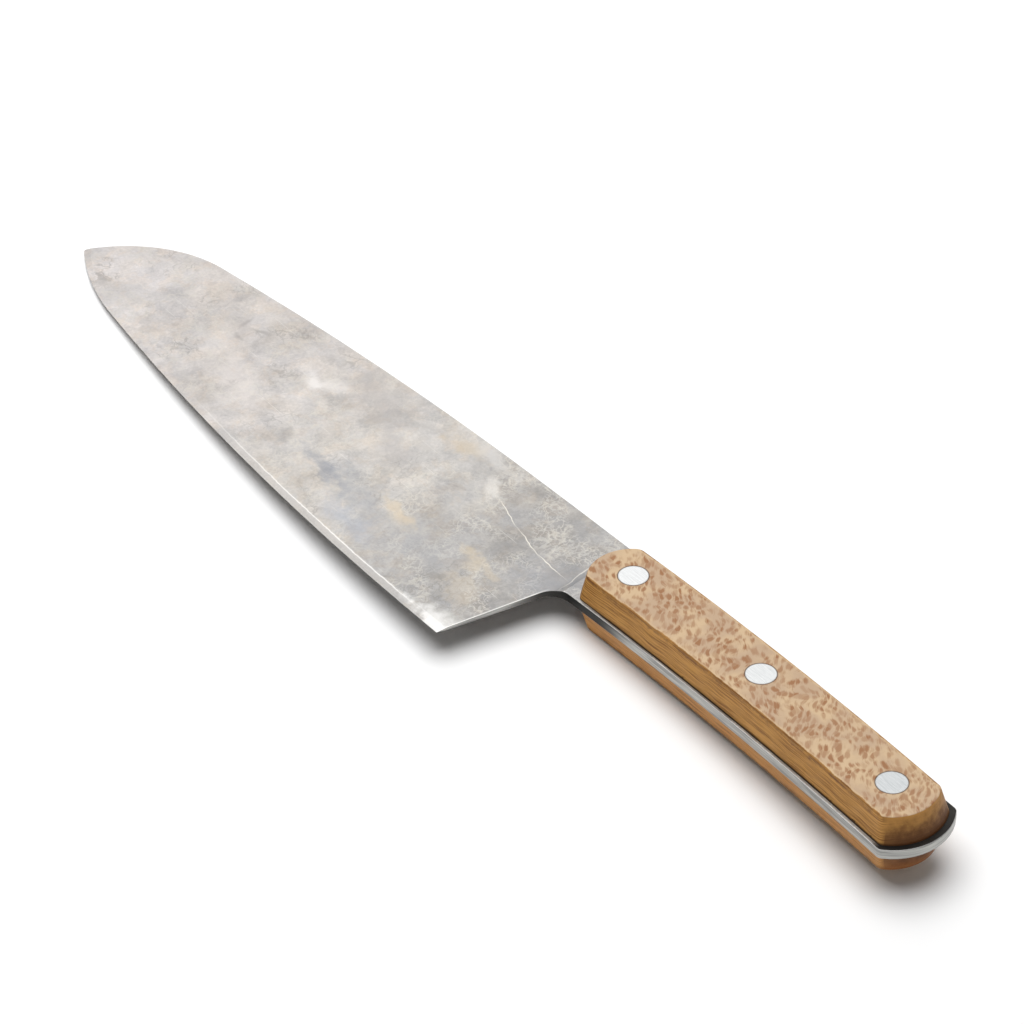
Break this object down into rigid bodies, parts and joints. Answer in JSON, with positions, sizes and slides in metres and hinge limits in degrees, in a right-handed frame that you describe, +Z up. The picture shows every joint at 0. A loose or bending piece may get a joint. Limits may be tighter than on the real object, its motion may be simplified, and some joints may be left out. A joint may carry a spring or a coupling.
{
  "type": "chef knife",
  "caption": "Chef's knife lying on its side: a wide worn steel blade with a square heel and full tang, between figured wood handle scales held by flush rivets.",
  "frame": {"origin": "middle of the knife's outline in X and Y, on the outer face of the lower scale that it rests on", "axes": "+X towards the tip, +Y towards the cutting edge, +Z up through the flat of the blade, away from the resting face"},
  "size_m": [0.3465, 0.0604, 0.017],
  "materials": {
    "blade_steel": "satin, clouded by use, with fine scratches and small stains",
    "scale_wood": "oiled lacewood, pale with brown flecks on the faces and darker on the sides",
    "rivet_metal": "ground flush and satin"
  },
  "bodies": {
    "root": {"blade_full_tang": "blade_steel", "upper_scale": "scale_wood", "lower_scale": "scale_wood", "rear_rivet_male": "rivet_metal", "rear_rivet_female": "rivet_metal", "middle_rivet_male": "rivet_metal", "middle_rivet_female": "rivet_metal", "front_rivet_male": "rivet_metal", "front_rivet_female": "rivet_metal"}
  },
  "joints": []
}
